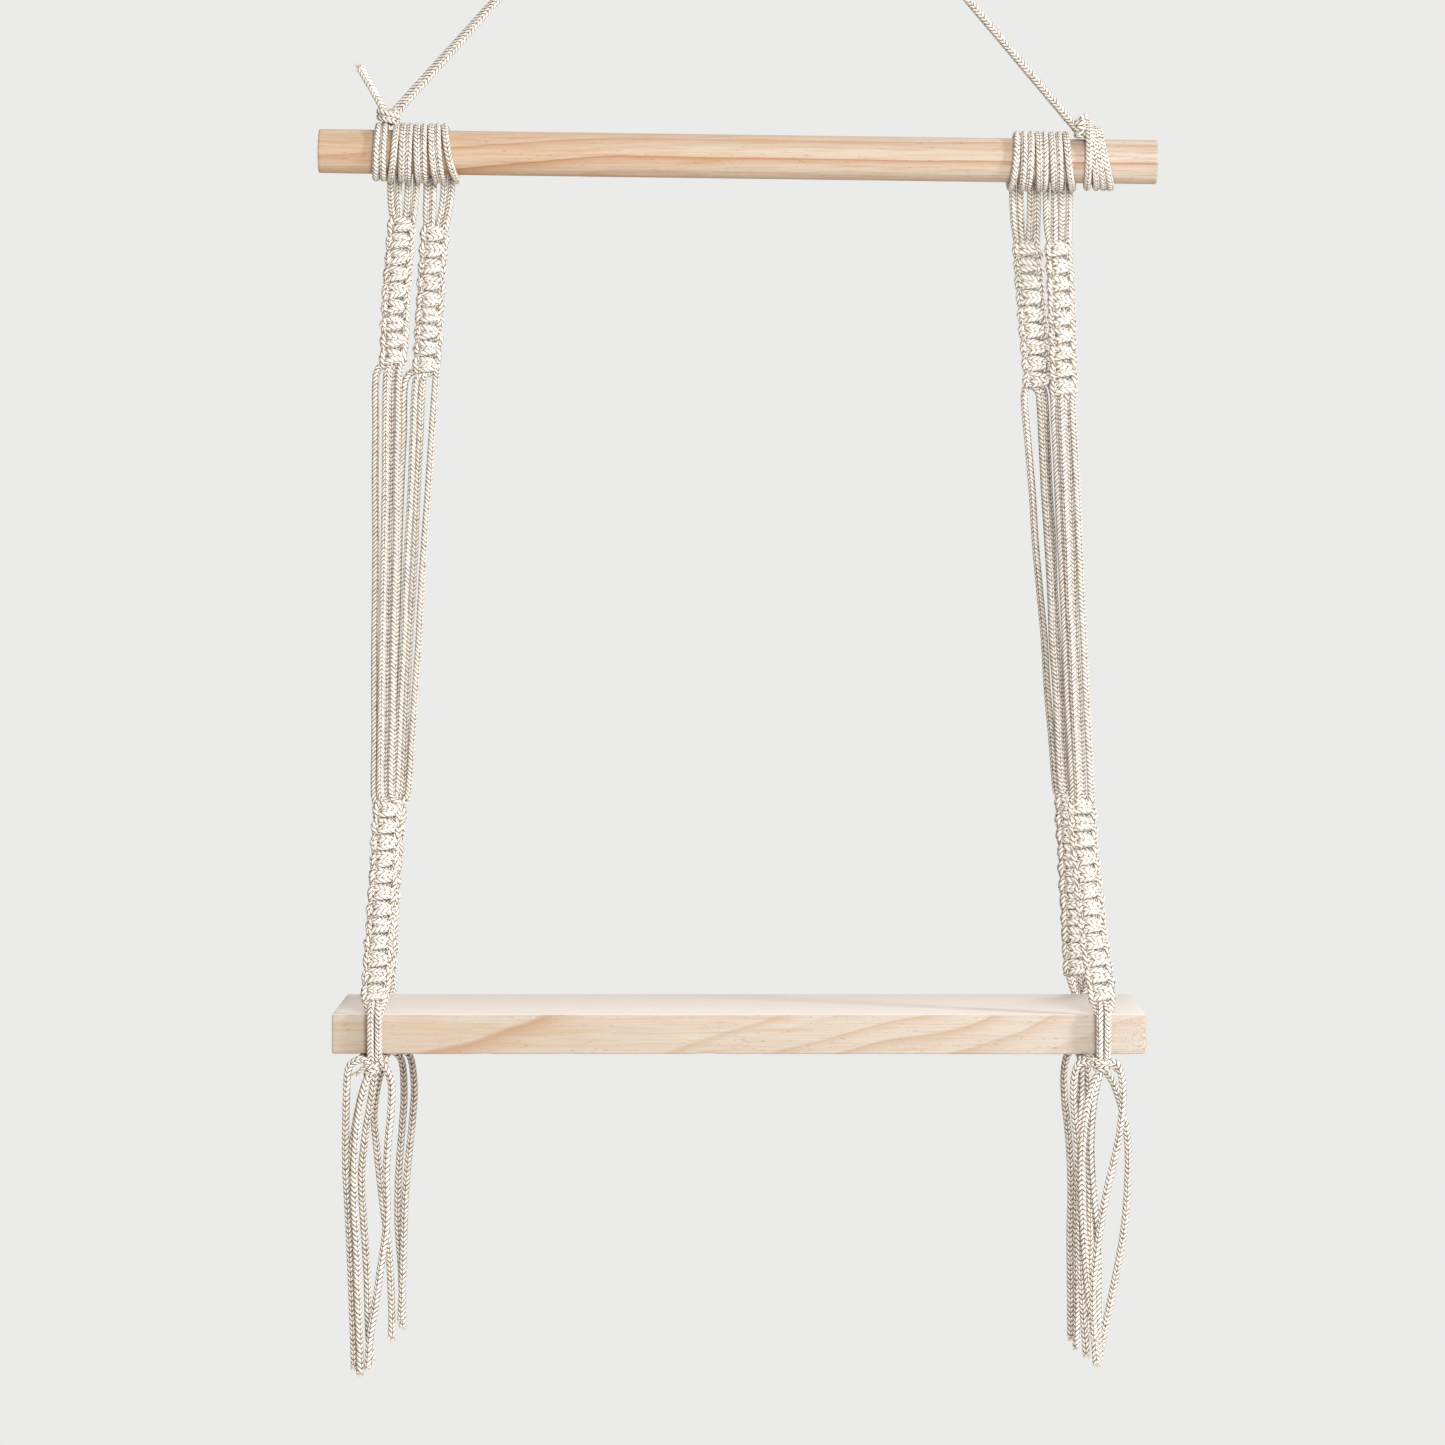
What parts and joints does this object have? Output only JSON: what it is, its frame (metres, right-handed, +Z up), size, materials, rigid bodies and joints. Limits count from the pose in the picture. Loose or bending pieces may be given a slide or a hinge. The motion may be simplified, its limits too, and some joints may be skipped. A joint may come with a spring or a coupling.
{
  "type": "macrame wall shelf with wooden dowel and board",
  "caption": "Hanging shelf: a pine board carried at both ends by knotted cotton straps that hang from a wooden dowel and a doubled cord over one hook.",
  "frame": {"origin": "the hook that the shelf hangs from: the point on the plane behind the shelf, level with the underside of the cord's top bend", "axes": "+Z up, +X along the board to the viewer's right, -Y out towards the viewer; the plane Y = 0 is what the shelf hangs against"},
  "size_m": [0.4239, 0.1443, 0.8251],
  "materials": {
    "cotton_cord": "undyed braided cotton cord, matt",
    "pine_board": "bare planed pine with pale diagonal grain",
    "pine_dowel": "bare turned pine with long grain lines"
  },
  "bodies": {
    "root": {"dowel": "pine_dowel", "board": "pine_board", "hanger_cord": "cotton_cord", "left_strap": "cotton_cord", "right_strap": "cotton_cord", "left_front_tails": "cotton_cord", "left_back_tails": "cotton_cord", "right_back_tails": "cotton_cord", "right_front_tails": "cotton_cord"}
  },
  "joints": []
}
